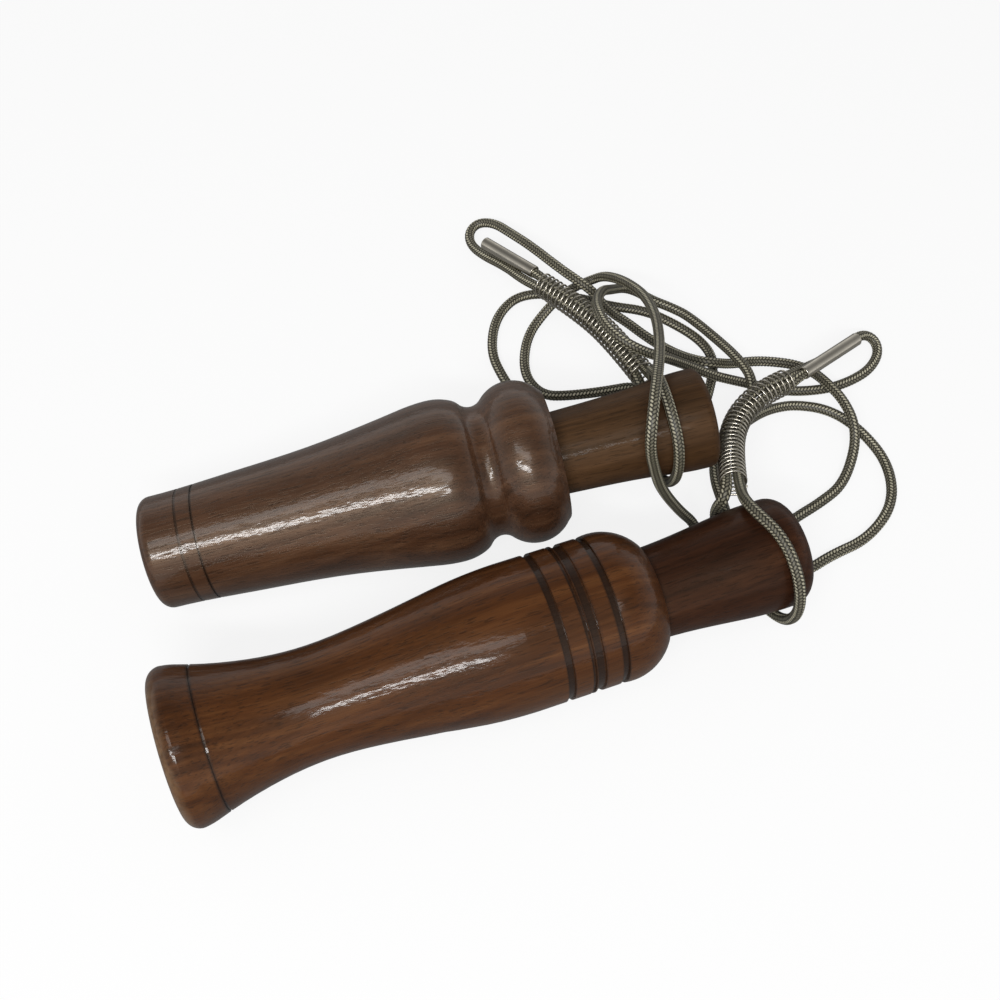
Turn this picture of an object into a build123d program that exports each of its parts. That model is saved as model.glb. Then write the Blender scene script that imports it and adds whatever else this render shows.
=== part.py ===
from build123d import *
from math import cos, pi, radians, sin, tan
import os

# A pair of turned wooden duck calls on one braided lanyard, lying on a table.
# Own frame: +Z up, the table top is z = 0, and the origin is under the middle of the two calls.
# Both calls point along +X with their mouth ends to the left. Sizes are in millimetres.

# Cord and its fittings
cord_diameter = 2.6
wire_diameter = 0.5
curl_outside_diameter = 6.5
curl_pitch = 1.5
keeper_end_margin = 0.6
keeper_insert_margin = 2.8
ferrule_outside_diameter = 3.3
ferrule_wall = 0.3
ferrule_end_wall = 0.6
upper_ferrule_length = 18.2
lower_ferrule_length = 19.8
ferrule_edge = 0.25
crimp_depth = 0.06
crimp_width = 2.0
crimp_setback = 2.5
arc_share = 0.45
heading_step_share = 0.001

# Bores, tenons and running fits that both calls share
chamber_radius = 8.0
mouth_bore_radius = 7.0
mouth_bore_length = 18.0
mouth_edge = 1.5
tenon_length = 28.5
tenon_fit = 0.3
tenon_chamfer = 0.6
ring_thickness = 1.22
ring_fit = 0.06
ring_groove_width = 1.5
ring_front_setback = 6.0
ring_spacing = 12.0
board_fit = 0.05
board_socket_radius = 5.0
board_seat_depth = 24.0
airway_radius = 4.0
exhaust_radius = 6.5
exhaust_length = 20.0
exhaust_edge = 1.0
exhaust_cone = 2.5

# Tone board, reeds and the wedge that clamps them
flat_height = 0.8
board_overhang = 38.0
trough_width = 4.4
trough_start = 7.5
trough_length = 25.0
air_hole_radius = 2.3
air_hole_drop = 1.6
reed_thickness = 0.35
reed_width = 8.2
reed_tip_round = 3.0
reed_setback = 0.5
reed_gap = 0.03
reed_length = 41.5
second_reed_gap = 0.25
second_reed_setback = 3.0
wedge_overhang = 4.0
wedge_length = 16.0
wedge_clearance = 0.05
wedge_relief = 0.35
wedge_step_gap = 0.4

# Where the calls lie, and how far they turn from the X axis and from level
upper_start_x = -72.12
upper_start_y = 10.96
upper_start_z = 12.81
upper_yaw = 13.32
upper_tilt = 5.1
lower_start_x = -61.70
lower_start_y = -36.70
lower_start_z = 17.14
lower_yaw = 19.64
lower_tilt = -0.3

# Upper call. Shares are of the barrel's or the shown insert's length, and of its widest radius.
upper_barrel_length = 94.0
upper_shown_length = 36.0
upper_belly_radius = 18.8
upper_lip_radius = 12.9
upper_lip_round = 2.5
upper_face_radius = 14.9
upper_insert_radius = 11.6
upper_end_round = 2.0
upper_body_shares = [(0.218, 0.7315), (0.431, 0.8085), (0.6435, 0.96)]
upper_belly_share = 0.7234
upper_shoulder_shares = [(0.7723, 0.9574), (0.8, 0.867)]
upper_cove_shares = (0.8266, 0.8032)
upper_bead_shares = [(0.8543, 0.867), (0.9223, 1.0027), (0.9915, 0.8351)]
upper_score_shares = (0.0973, 0.1365)
upper_score_radius_share = 0.7101
upper_insert_shares = [(0, 0.8276), (0.2778, 0.8578), (0.6111, 0.9267), (0.9028, 1)]

# Lower call, with the same kinds of shares
lower_barrel_length = 106.6
lower_shown_length = 35.4
lower_band_radius = 16.45
lower_lip_radius = 17.1
lower_lip_round = 3.2
lower_face_radius = 12.0
lower_insert_radius = 12.4
lower_end_round = 4.6
lower_body_shares = [
    (0.0791, 0.9605), (0.149, 0.8419), (0.2886, 0.7295), (0.405, 0.7751), (0.5447, 0.8997),
]
lower_band_shares = (0.7076, 0.8939)
lower_shoulder_shares = (0.9628, 0.9331)
lower_score_shares = (0.0852,)
lower_score_radius_share = 0.9574
lower_ring_line_shares = (0.7753, 0.8232, 0.8387, 0.8898)
lower_ring_line_width_shares = (0.015, 0.0075, 0.0178, 0.0131)
lower_insert_shares = [(0, 0.8226), (0.2486, 0.8669), (0.5376, 0.9556), (0.7977, 1)]

# Turned lines on both calls
score_width = 0.5
score_depth = 0.45
ring_line_depth = 0.5

# The cord's route in five stretches that meet end to end, each point chosen by hand.
# It starts in the upper ferrule and ends in the lower one.
upper_noose_route = [
    (2.8, 105.9, 9.2), (16.2, 93.2, 12), (17.89, 91.04, 12), (27.46, 80.96, 14.5),
    (36.08, 68.28, 17.5), (43.12, 53.69, 20), (40.9, 50.6, 30), (42, 43.8, 35.6),
    (43.6, 35.2, 37), (45.9, 27.8, 32.2), (46.4, 25.2, 23.2), (45.2, 28.4, 14.6),
    (43, 35.2, 9.2), (40.9, 44.3, 10.2), (39.4, 49.8, 16), (40.68, 52.51, 20),
    (33.72, 66.92, 17.5), (25.34, 79.24, 14.5), (15.91, 89.16, 12), (12.4, 93.1, 10),
    (7.9, 99.6, 7.5), (1.9, 105.6, 5), (-1.6, 110.6, 3.5), (-2.1, 115.1, 3.5),
    (0.4, 118.1, 4), (4.9, 116.6, 5.5), (9.4, 111.1, 7.5), (14.4, 105.1, 9.5),
    (18.4, 100.1, 10.5),
]
neck_out_route = [
    (18.4, 100.1, 10.5), (22.4, 95.1, 11.5), (26.9, 91.1, 11.5), (30.4, 89.1, 10),
    (32.9, 87.6, 7), (35.9, 87.1, 3.5), (39.9, 85.6, 1.5), (43.4, 82.1, 1.5),
    (47.4, 78.6, 1.5), (52.4, 73.1, 4), (56.9, 69.1, 7), (60.4, 68.6, 7), (65.4, 71.1, 3),
    (70.9, 73.1, 1.5), (75.9, 73.1, 1.5), (82.4, 72.1, 1.5), (86.4, 68.6, 3),
    (88.4, 62.6, 6.5), (91.4, 57.6, 7), (93.4, 50.6, 7), (93.4, 44.6, 4),
    (89.9, 36.1, 1.5), (83.9, 31.1, 1.5), (76.9, 26.6, 1.5), (69.9, 21.1, 1.4),
    (67.9, 15.6, 1.4), (71.9, 11.1, 1.4), (78.4, 12.6, 1.4), (84.4, 16.6, 1.5),
    (93.9, 21.1, 1.5), (101.4, 30.6, 1.5), (101.9, 42.1, 1.5), (96.4, 52.1, 1.5),
    (89.4, 58.1, 1.5), (80.9, 59.6, 1.5), (74.9, 58.1, 2), (70.4, 54.6, 4.5),
    (65.4, 49.6, 7), (56.4, 40.6, 7), (46.4, 37.6, 5), (35.4, 40.6, 4), (25.4, 46.6, 2.5),
    (14.4, 55.6, 1.4), (6.9, 68.1, 1.5), (3.9, 76.6, 1.5), (5.4, 88.1, 1.5),
    (12.4, 95.9, 1.5), (19.9, 95.0, 1.5),
]
neck_middle_route = [
    (19.9, 95.0, 1.5), (27.4, 94.1, 1.5), (35.4, 91.1, 1.5), (44.9, 89.6, 1.5),
    (52.4, 85.1, 1.5), (58.4, 80.1, 1.5), (61.4, 74.6, 1.5), (60.9, 68.1, 1.5),
    (56.9, 55.6, 1.4), (49.4, 53.6, 2.5), (41.9, 63.6, 4.5), (32.9, 61.6, 4.5),
    (23.9, 60.6, 4), (17.4, 61.6, 2.5), (13.4, 67.1, 1.5), (12.4, 73.6, 1.5),
    (13.9, 82.1, 1.5), (18.4, 87.6, 4), (21.9, 89.6, 7), (25.9, 93.1, 7), (30.4, 96.6, 5.5),
    (33.4, 95.6, 8.5), (36.4, 90.6, 13.5), (39.4, 85.6, 17), (42.4, 79.6, 20),
    (43.9, 69.6, 25), (43.4, 57.7, 31.4), (41.8, 46, 38.6), (40.3, 37.4, 42),
    (39.4, 31.6, 42), (38.9, 27.6, 40), (38.9, 25.1, 35), (40.5, 24.2, 28),
    (42.7, 23.7, 20.5), (48.2, 24.6, 9), (52.9, 24.6, 2.6), (53.9, 18.6, 1.4),
    (57.4, 14.6, 1.4), (61.7, 16.6, 1.4), (61.7, 23.6, 1.4), (59.9, 32.1, 1.5),
    (58.9, 36.6, 1.5), (58.9, 42.1, 1.5), (60.9, 47.1, 1.5), (64.4, 52.6, 2),
    (67.9, 56.6, 4.5), (69.4, 59.6, 7.5), (68.9, 64.6, 8), (66.4, 69.6, 7.5),
    (63.4, 75.6, 5.5), (59.65, 80.85, 4.5),
]
neck_in_route = [
    (59.65, 80.85, 4.5), (55.9, 86.1, 3.5), (51.4, 88.6, 4), (46.4, 91.1, 4),
    (42.9, 95.6, 2), (39.4, 96.6, 2.5), (35.4, 92.6, 6.5), (31.9, 84.1, 16.5),
    (29.4, 73.1, 25), (31.4, 65.1, 26.5), (35.4, 60.6, 26.5), (40.9, 59.1, 24),
    (47.4, 62.1, 17.5), (53.4, 64.6, 11), (59.9, 64.6, 7), (65.9, 65.6, 3.5),
    (71.4, 65.6, 1.5), (76.4, 64.1, 1.5), (82.9, 63.6, 1.5), (90.4, 64.6, 1.5),
    (96.4, 67.1, 1.5), (101.4, 70.6, 1.5), (104.4, 75.6, 1.5), (103.9, 79.6, 2),
    (100.4, 80.1, 4), (95.4, 75.6, 6), (88.9, 69.6, 7.5), (82.55, 64.94, 10),
]
lower_noose_route = [
    (82.55, 64.94, 10), (76.2, 60.27, 12.5), (68.47, 55.63, 14), (61.45, 47.36, 13.5),
    (58.36, 35.2, 17), (57.24, 20.4, 23.9), (54.9, 21.2, 14), (58.4, 18.1, 6),
    (62.9, 11.1, 1.5), (67.4, 2.6, 2), (70.4, -3.9, 8.5), (71.4, -5.4, 17.5),
    (69.9, -1.9, 26.5), (66.4, 5.6, 31), (59.9, 13.6, 30.5), (59.96, 20.99, 23.5),
    (61.04, 34.74, 17), (63.95, 46.16, 13.5), (70.33, 53.57, 14), (77.6, 57.93, 12.5),
    (79.6, 59.75, 13.6), (95.6, 72.6, 11.2),
]

# The keeper springs' centre lines, each round two strands of cord
upper_keeper_line = [(16.9, 90.1, 12.0), (26.4, 80.1, 14.5), (34.9, 67.6, 17.5), (41.9, 53.1, 20.0)]
lower_keeper_line = [
    (76.9, 59.1, 12.5), (69.4, 54.6, 14.0), (62.7, 46.76, 13.5),
    (59.7, 34.97, 17.0), (58.6, 21.1, 23.5),
]

os.makedirs("parts", exist_ok=True)


def save(part, name):
    """Label a finished piece and write it."""
    part.label = name
    export_step(part, "parts/" + name + ".step")


def call_planes(start, yaw, tilt):
    """Give a call's axis, its cross plane at the mouth end and its upright profile plane."""
    ahead = Vector(
        cos(radians(yaw)) * cos(radians(tilt)),
        sin(radians(yaw)) * cos(radians(tilt)),
        sin(radians(tilt)),
    )
    sideways = Vector(-sin(radians(yaw)), cos(radians(yaw)), 0)
    cross = Plane(origin=start, x_dir=sideways, z_dir=ahead)
    profile = Plane(origin=start, x_dir=ahead, z_dir=-sideways)
    return Axis(start, ahead), cross, profile


# Turned wood
def cut_lines(profile, axis, places, widths, radius, depth):
    """Cut turned lines at places along the call into the part being built."""
    with BuildSketch(profile) as lines:
        for place, width in zip(places, widths):
            with Locations((place, radius)):
                Rectangle(width, 2 * depth)
    revolve(lines.sketch, axis=axis, mode=Mode.SUBTRACT)


def outline(shares, length, radius, start=0):
    """Turn shares of a length and a radius into outline points from a start."""
    return [(start + length * along, radius * out) for along, out in shares]


def inner_barrel_line(length, face_radius, mouth_end):
    """Draw a barrel's bore and end face inside the current line block."""
    CenterArc((mouth_edge, mouth_bore_radius + mouth_edge), mouth_edge, 180, 90)
    Polyline(
        (mouth_edge, mouth_bore_radius),
        (mouth_bore_length, mouth_bore_radius),
        (mouth_bore_length, chamber_radius),
        (length, chamber_radius),
        (length, face_radius),
    )
    Line((0, mouth_bore_radius + mouth_edge), (0, mouth_end))


def insert_sketch(profile, body, tenon_start, length, end_round):
    """Sketch an insert: tenon, turned body, board socket, airway and exhaust."""
    board_stop = tenon_start + board_seat_depth
    tenon_radius = chamber_radius - tenon_fit
    groove_bottom = chamber_radius - ring_fit - ring_thickness
    end_radius = body[-1][1]
    end_start = length - end_round
    cone_start = length - exhaust_length - exhaust_cone
    with BuildSketch(profile) as half:
        with BuildLine():
            Polyline(
                (tenon_start, board_socket_radius),
                (tenon_start, tenon_radius - tenon_chamfer),
                (tenon_start + tenon_chamfer, tenon_radius),
                (body[0][0], tenon_radius),
                body[0],
            )
            Spline(*body, tangents=[(1, 0.03), (1, 0)])
            Line(body[-1], (end_start, end_radius))
            CenterArc((end_start, end_radius - end_round), end_round, 0, 90)
            Line((length, end_radius - end_round), (length, exhaust_radius + exhaust_edge))
            CenterArc((length - exhaust_edge, exhaust_radius + exhaust_edge), exhaust_edge, 270, 90)
            Polyline(
                (length - exhaust_edge, exhaust_radius),
                (length - exhaust_length, exhaust_radius),
                (cone_start, airway_radius),
                (board_stop, airway_radius),
                (board_stop, board_socket_radius),
                (tenon_start, board_socket_radius),
            )
        make_face()
        for step in range(2):
            place = tenon_start + ring_front_setback + step * ring_spacing
            with Locations((place, (groove_bottom + chamber_radius) / 2)):
                Rectangle(ring_groove_width, chamber_radius - groove_bottom, mode=Mode.SUBTRACT)
    return half


def seal_ring(profile, axis, place):
    """Make a rubber ring for a tenon groove."""
    with BuildPart() as ring:
        with BuildSketch(profile):
            with Locations((place, chamber_radius - ring_fit - ring_thickness / 2)):
                Circle(ring_thickness / 2)
        revolve(axis=axis)
    return ring


# Sound pieces
def tone_board(cross, profile, tenon_start):
    """Make a tone board with its flat, trough and air hole."""
    board_stop = tenon_start + board_seat_depth
    start = tenon_start - board_overhang
    radius = board_socket_radius - board_fit
    flat_length = board_overhang - wedge_overhang + wedge_length
    with BuildPart() as board:
        with BuildSketch(cross.offset(start)):
            Circle(radius)
        extrude(amount=board_stop - start)
        with BuildSketch(profile):
            with Locations((start + flat_length / 2, flat_height + radius)):
                Rectangle(flat_length, 2 * radius)
        extrude(amount=radius, both=True, mode=Mode.SUBTRACT)
        with BuildSketch(cross.offset(start + trough_start)):
            with Locations((0, -air_hole_drop)):
                Circle(air_hole_radius)
        extrude(amount=board_stop - start - trough_start, mode=Mode.SUBTRACT)
        with BuildSketch(profile):
            middle = start + trough_start + trough_length / 2
            depth = flat_height + air_hole_drop
            with Locations((middle, flat_height - depth / 2)):
                Rectangle(trough_length, depth)
        extrude(amount=trough_width / 2, both=True, mode=Mode.SUBTRACT)
    return board


def reed(cross, profile, tip, root, height):
    """Make a flat reed from its rounded tip to its root at a height over the axis."""
    level = Plane(origin=cross.origin, x_dir=cross.z_dir, z_dir=profile.y_dir)
    with BuildPart() as strip:
        with BuildSketch(level.offset(height)) as outline:
            with Locations(((tip + root) / 2, 0)):
                Rectangle(root - tip, reed_width)
            fillet(outline.vertices().group_by(profile_axis(cross))[0], reed_tip_round)
        extrude(amount=reed_thickness)
    return strip


def profile_axis(cross):
    """Give the direction along a call, to sort corners by."""
    return Axis(cross.origin, cross.z_dir)


def wedge(cross, profile, tenon_start, reed_root, reed_top):
    """Make the wedge that holds the reeds down on the board's flat."""
    start = tenon_start - wedge_overhang
    end = start + wedge_length
    radius = board_socket_radius - board_fit
    underside = reed_top + wedge_clearance
    with BuildPart() as block:
        with BuildSketch(cross.offset(start)):
            Circle(radius)
        extrude(amount=wedge_length)
        with BuildSketch(profile):
            with BuildLine():
                Polyline(
                    (start - wedge_clearance, -2 * radius),
                    (start - wedge_clearance, underside + wedge_relief),
                    (reed_root, underside),
                    (reed_root + wedge_step_gap, underside),
                    (reed_root + wedge_step_gap, flat_height),
                    (end + wedge_clearance, flat_height),
                    (end + wedge_clearance, -2 * radius),
                    close=True,
                )
            make_face()
        extrude(amount=2 * radius, both=True, mode=Mode.SUBTRACT)
    return block


# Upper call
upper_start = Vector(upper_start_x, upper_start_y, upper_start_z)
upper_axis, upper_cross, upper_profile = call_planes(upper_start, upper_yaw, upper_tilt)
upper_tenon_start = upper_barrel_length - tenon_length
upper_belly = (upper_belly_share * upper_barrel_length, upper_belly_radius)
upper_body = outline(upper_body_shares, upper_barrel_length, upper_belly_radius)
upper_shoulder = outline(upper_shoulder_shares, upper_barrel_length, upper_belly_radius)
upper_cove, = outline([upper_cove_shares], upper_barrel_length, upper_belly_radius)
upper_bead = outline(upper_bead_shares, upper_barrel_length, upper_belly_radius)

with BuildPart() as upper_barrel:
    with BuildSketch(upper_profile):
        with BuildLine():
            inner_barrel_line(upper_barrel_length, upper_face_radius, upper_lip_radius - upper_lip_round)
            CenterArc((upper_lip_round, upper_lip_radius - upper_lip_round), upper_lip_round, 90, 90)
            Spline(
                (upper_lip_round, upper_lip_radius),
                *upper_body,
                upper_belly,
                tangents=[(1, 0), (1, 0)],
            )
            Spline(upper_belly, *upper_shoulder, tangents=[(1, 0), (0.6, -0.8)])
            ThreePointArc(upper_shoulder[-1], upper_cove, upper_bead[0])
            ThreePointArc(*upper_bead)
            Line(upper_bead[-1], (upper_barrel_length, upper_face_radius))
        make_face()
    revolve(axis=upper_axis)
    score_places = [share * upper_barrel_length for share in upper_score_shares]
    score_radius = upper_score_radius_share * upper_belly_radius
    score_widths = [score_width] * len(score_places)
    cut_lines(upper_profile, upper_axis, score_places, score_widths, score_radius, score_depth)
save(upper_barrel.part, "upper_barrel")

upper_length = upper_barrel_length + upper_shown_length
upper_insert_body = outline(
    upper_insert_shares, upper_shown_length, upper_insert_radius, upper_barrel_length,
)
upper_insert_half = insert_sketch(
    upper_profile, upper_insert_body, upper_tenon_start, upper_length, upper_end_round,
)
with BuildPart() as upper_insert:
    revolve(upper_insert_half.sketch, axis=upper_axis)
save(upper_insert.part, "upper_insert")

# Lower call
lower_start = Vector(lower_start_x, lower_start_y, lower_start_z)
lower_axis, lower_cross, lower_profile = call_planes(lower_start, lower_yaw, lower_tilt)
lower_tenon_start = lower_barrel_length - tenon_length
lower_body = outline(lower_body_shares, lower_barrel_length, lower_band_radius)
lower_band = [(share * lower_barrel_length, lower_band_radius) for share in lower_band_shares]
lower_shoulder, = outline([lower_shoulder_shares], lower_barrel_length, lower_band_radius)

with BuildPart() as lower_barrel:
    with BuildSketch(lower_profile):
        with BuildLine():
            inner_barrel_line(lower_barrel_length, lower_face_radius, lower_lip_radius - lower_lip_round)
            CenterArc((lower_lip_round, lower_lip_radius - lower_lip_round), lower_lip_round, 90, 90)
            Spline(
                (lower_lip_round, lower_lip_radius),
                *lower_body,
                lower_band[0],
                tangents=[(1, -0.1), (1, 0.02)],
            )
            Line(*lower_band)
            ThreePointArc(lower_band[1], lower_shoulder, (lower_barrel_length, lower_face_radius))
        make_face()
    revolve(axis=lower_axis)
    score_places = [share * lower_barrel_length for share in lower_score_shares]
    score_radius = lower_score_radius_share * lower_band_radius
    score_widths = [score_width] * len(score_places)
    cut_lines(lower_profile, lower_axis, score_places, score_widths, score_radius, score_depth)
    line_places = [share * lower_barrel_length for share in lower_ring_line_shares]
    line_widths = [share * lower_barrel_length for share in lower_ring_line_width_shares]
    cut_lines(
        lower_profile, lower_axis, line_places, line_widths, lower_band_radius, ring_line_depth,
    )
save(lower_barrel.part, "lower_barrel")

lower_length = lower_barrel_length + lower_shown_length
lower_insert_body = outline(
    lower_insert_shares, lower_shown_length, lower_insert_radius, lower_barrel_length,
)
lower_insert_half = insert_sketch(
    lower_profile, lower_insert_body, lower_tenon_start, lower_length, lower_end_round,
)
with BuildPart() as lower_insert:
    revolve(lower_insert_half.sketch, axis=lower_axis)
save(lower_insert.part, "lower_insert")

# What each call holds inside: the upper one sounds on one reed, the lower one on two
first_reed_height = flat_height + reed_gap
second_reed_height = first_reed_height + reed_thickness + second_reed_gap
for call, cross, profile, axis, tenon_start, reed_heights in (
    ("upper", upper_cross, upper_profile, upper_axis, upper_tenon_start, [first_reed_height]),
    ("lower", lower_cross, lower_profile, lower_axis, lower_tenon_start,
     [first_reed_height, second_reed_height]),
):
    board = tone_board(cross, profile, tenon_start)
    save(board.part, call + "_tone_board")
    tip = tenon_start - board_overhang + reed_setback
    root = tip + reed_length
    for number, height in enumerate(reed_heights):
        strip = reed(cross, profile, tip + number * second_reed_setback, root, height)
        save(strip.part, call + "_reed" + ("", "_top")[number])
    block = wedge(cross, profile, tenon_start, root, reed_heights[-1] + reed_thickness)
    save(block.part, call + "_wedge")
    for number, name in enumerate(("front", "rear")):
        place = tenon_start + ring_front_setback + number * ring_spacing
        save(seal_ring(profile, axis, place).part, call + "_ring_" + name)


# Cord
def corner_radii(points):
    """Give each corner the largest arc that its two runs allow."""
    radii = []
    for before, corner, after in zip(points, points[1:], points[2:]):
        first = Vector(corner) - Vector(before)
        second = Vector(after) - Vector(corner)
        turn = radians(first.get_angle(second))
        radii.append(arc_share * min(first.length, second.length) / tan(turn / 2))
    return radii


def cord(name, points):
    """Sweep one stretch of cord and print its tightest bends and how its volume compares."""
    radii = corner_radii(points)
    with BuildPart() as stretch:
        with BuildLine() as route:
            FilletPolyline(*points, radius=radii)
        with BuildSketch(Plane(origin=route.line @ 0, z_dir=route.line % 0)):
            Circle(cord_diameter / 2)
        sweep()
    length = sum(edge.length for edge in route.edges())
    whole = pi * (cord_diameter / 2) ** 2 * length
    print(name, "length", round(length, 1), "volume share", round(stretch.part.volume / whole, 4))
    print(name, "bend radii", [round(radius, 1) for radius in radii])
    return stretch


for name, route_points in (
    ("cord_upper_noose", upper_noose_route),
    ("cord_neck_out", neck_out_route),
    ("cord_neck_middle", neck_middle_route),
    ("cord_neck_in", neck_in_route),
    ("cord_lower_noose", lower_noose_route),
):
    save(cord(name, route_points).part, name)


# Crimped ferrules on the cord's two cut ends
def ferrule(far_end, near_end, length):
    """Make a closed tube on a cut end, from its closed end towards the next point."""
    direction = (Vector(near_end) - Vector(far_end)).normalized()
    base = Plane(origin=Vector(far_end) - direction * ferrule_end_wall, z_dir=direction)
    with BuildPart() as tube:
        with BuildSketch(base):
            Circle(ferrule_outside_diameter / 2)
        extrude(amount=length)
        fillet(tube.edges().filter_by(GeomType.CIRCLE), ferrule_edge)
        with BuildSketch(base.offset(ferrule_end_wall)):
            Circle(ferrule_outside_diameter / 2 - ferrule_wall)
        extrude(amount=length, mode=Mode.SUBTRACT)
        with BuildSketch(base.offset(length - crimp_setback - crimp_width)):
            Circle(ferrule_outside_diameter / 2 - ferrule_wall)
            Circle(cord_diameter / 2 - crimp_depth, mode=Mode.SUBTRACT)
        extrude(amount=crimp_width)
    return tube


upper_tube = ferrule(upper_noose_route[0], upper_noose_route[1], upper_ferrule_length)
save(upper_tube.part, "upper_ferrule")
lower_tube = ferrule(lower_noose_route[-1], lower_noose_route[-2], lower_ferrule_length)
save(lower_tube.part, "lower_ferrule")


# Keeper springs
def curl_point(line, length, curls, step):
    """Give the wire's centre at a step of half a turn along a keeper's centre line."""
    wound = length - keeper_end_margin - keeper_insert_margin
    along = keeper_end_margin + wound * step / (2 * curls)
    centre = line.position_at(along, position_mode=PositionMode.LENGTH)
    ahead = line.tangent_at(along, position_mode=PositionMode.LENGTH)
    level = Vector(-ahead.Y, ahead.X, 0).normalized()
    up = ahead.cross(level)
    turn = pi * step
    reach = (curl_outside_diameter - wire_diameter) / 2
    return centre + level * (reach * cos(turn)) + up * (reach * sin(turn))


def biarc(start, start_way, end, end_way):
    """Join two points by two tangent arcs that leave and arrive in the given directions."""
    span = end - start
    both = start_way + end_way
    bend = 2 * (1 - start_way.dot(end_way))
    handle = (-span.dot(both) + (span.dot(both) ** 2 + bend * span.dot(span)) ** 0.5) / bend
    first = start + start_way * handle
    second = end - end_way * handle
    middle = (first + second) / 2
    return (
        Edge.make_tangent_arc(start, start_way, middle),
        Edge.make_tangent_arc(middle, second - first, end),
    )


def keeper(name, points):
    """Wind one keeper spring round its centre line and print the least gap to itself."""
    with BuildLine() as centre:
        FilletPolyline(*points, radius=corner_radii(points))
    line = Wire(centre.edges())
    length = line.length
    curls = round((length - keeper_end_margin - keeper_insert_margin) / curl_pitch)
    steps = range(2 * curls + 1)
    places = [curl_point(line, length, curls, step) for step in steps]
    ways = [
        (
            curl_point(line, length, curls, step + heading_step_share)
            - curl_point(line, length, curls, step - heading_step_share)
        ).normalized()
        for step in steps
    ]
    arcs = []
    for step in range(2 * curls):
        arcs += biarc(places[step], ways[step], places[step + 1], ways[step + 1])
    wire = Wire(arcs)
    with BuildPart() as spring:
        with BuildSketch(Plane(origin=places[0], z_dir=ways[0])):
            Circle(wire_diameter / 2)
        sweep(path=wire)
    samples = [arc @ share for arc in arcs for share in (0, 1 / 3, 2 / 3)]
    per_curl = len(samples) // curls
    gap = min(
        (samples[one] - samples[two]).length
        for one in range(len(samples))
        for two in range(one + per_curl // 2, min(len(samples), one + 2 * per_curl))
    )
    print(name, "curls", curls, "least gap to itself", round(gap - wire_diameter, 2))
    return spring


save(keeper("upper_keeper_spring", upper_keeper_line).part, "upper_keeper_spring")
save(keeper("lower_keeper_spring", lower_keeper_line).part, "lower_keeper_spring")
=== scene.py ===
from math import cos, floor, pi, radians, sin

import bmesh
import bpy
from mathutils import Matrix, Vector


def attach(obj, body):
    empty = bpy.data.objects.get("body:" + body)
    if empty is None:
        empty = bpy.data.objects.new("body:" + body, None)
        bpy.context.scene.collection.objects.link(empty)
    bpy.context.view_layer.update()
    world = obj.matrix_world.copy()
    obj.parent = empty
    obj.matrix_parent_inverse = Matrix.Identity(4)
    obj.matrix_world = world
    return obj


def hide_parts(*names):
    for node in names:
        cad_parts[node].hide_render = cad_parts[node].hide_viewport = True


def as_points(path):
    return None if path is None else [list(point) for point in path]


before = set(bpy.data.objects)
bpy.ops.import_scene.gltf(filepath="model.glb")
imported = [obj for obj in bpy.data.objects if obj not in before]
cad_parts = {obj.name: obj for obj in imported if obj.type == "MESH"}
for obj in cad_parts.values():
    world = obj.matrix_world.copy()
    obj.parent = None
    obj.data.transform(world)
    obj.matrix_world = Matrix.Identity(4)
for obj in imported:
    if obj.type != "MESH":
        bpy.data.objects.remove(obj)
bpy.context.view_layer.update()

bl_info = {
    "name": "Wooden duck calls on a lanyard",
    "version": (1, 0, 0),
    "blender": (4, 5, 0),
    "location": "3D View > Sidebar > Duck calls",
    "description": "Finishes a pair of turned wooden duck calls on a braided cord lanyard",
    "category": "Object",
}

ROOT = "inserts_and_lanyard"

# Where each call's axis starts at the mouth end, how it is turned, and how long the call is
CALLS = {
    "upper": {"start": (-0.07212, 0.01096, 0.01281), "yaw": 13.32, "tilt": 5.1, "length": 0.130},
    "lower": {"start": (-0.06170, -0.03670, 0.01714), "yaw": 19.64, "tilt": -0.3, "length": 0.142},
}

# Turned lines as (distance from the mouth end, width)
UPPER_LINES = ((0.00915, 0.0005), (0.01283, 0.0005))
LOWER_LINES = (
    (0.00908, 0.0005), (0.08265, 0.0016), (0.08775, 0.0008), (0.0894, 0.0019), (0.09485, 0.0014),
)

# The cord's route in metres, in five stretches that meet end to end
UPPER_NOOSE = (
    (0.0028, 0.1059, 0.0092), (0.0162, 0.0932, 0.012), (0.01789, 0.09104, 0.012),
    (0.02746, 0.08096, 0.0145), (0.03608, 0.06828, 0.0175), (0.04312, 0.05369, 0.02),
    (0.0409, 0.0506, 0.03), (0.042, 0.0438, 0.0356), (0.0436, 0.0352, 0.037),
    (0.0459, 0.0278, 0.0322), (0.0464, 0.0252, 0.0232), (0.0452, 0.0284, 0.0146),
    (0.043, 0.0352, 0.0092), (0.0409, 0.0443, 0.0102), (0.0394, 0.0498, 0.016),
    (0.04068, 0.05251, 0.02), (0.03372, 0.06692, 0.0175), (0.02534, 0.07924, 0.0145),
    (0.01591, 0.08916, 0.012), (0.0124, 0.0931, 0.01), (0.0079, 0.0996, 0.0075),
    (0.0019, 0.1056, 0.005), (-0.0016, 0.1106, 0.0035), (-0.0021, 0.1151, 0.0035),
    (0.0004, 0.1181, 0.004), (0.0049, 0.1166, 0.0055), (0.0094, 0.1111, 0.0075),
    (0.0144, 0.1051, 0.0095), (0.0184, 0.1001, 0.0105),
)
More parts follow.
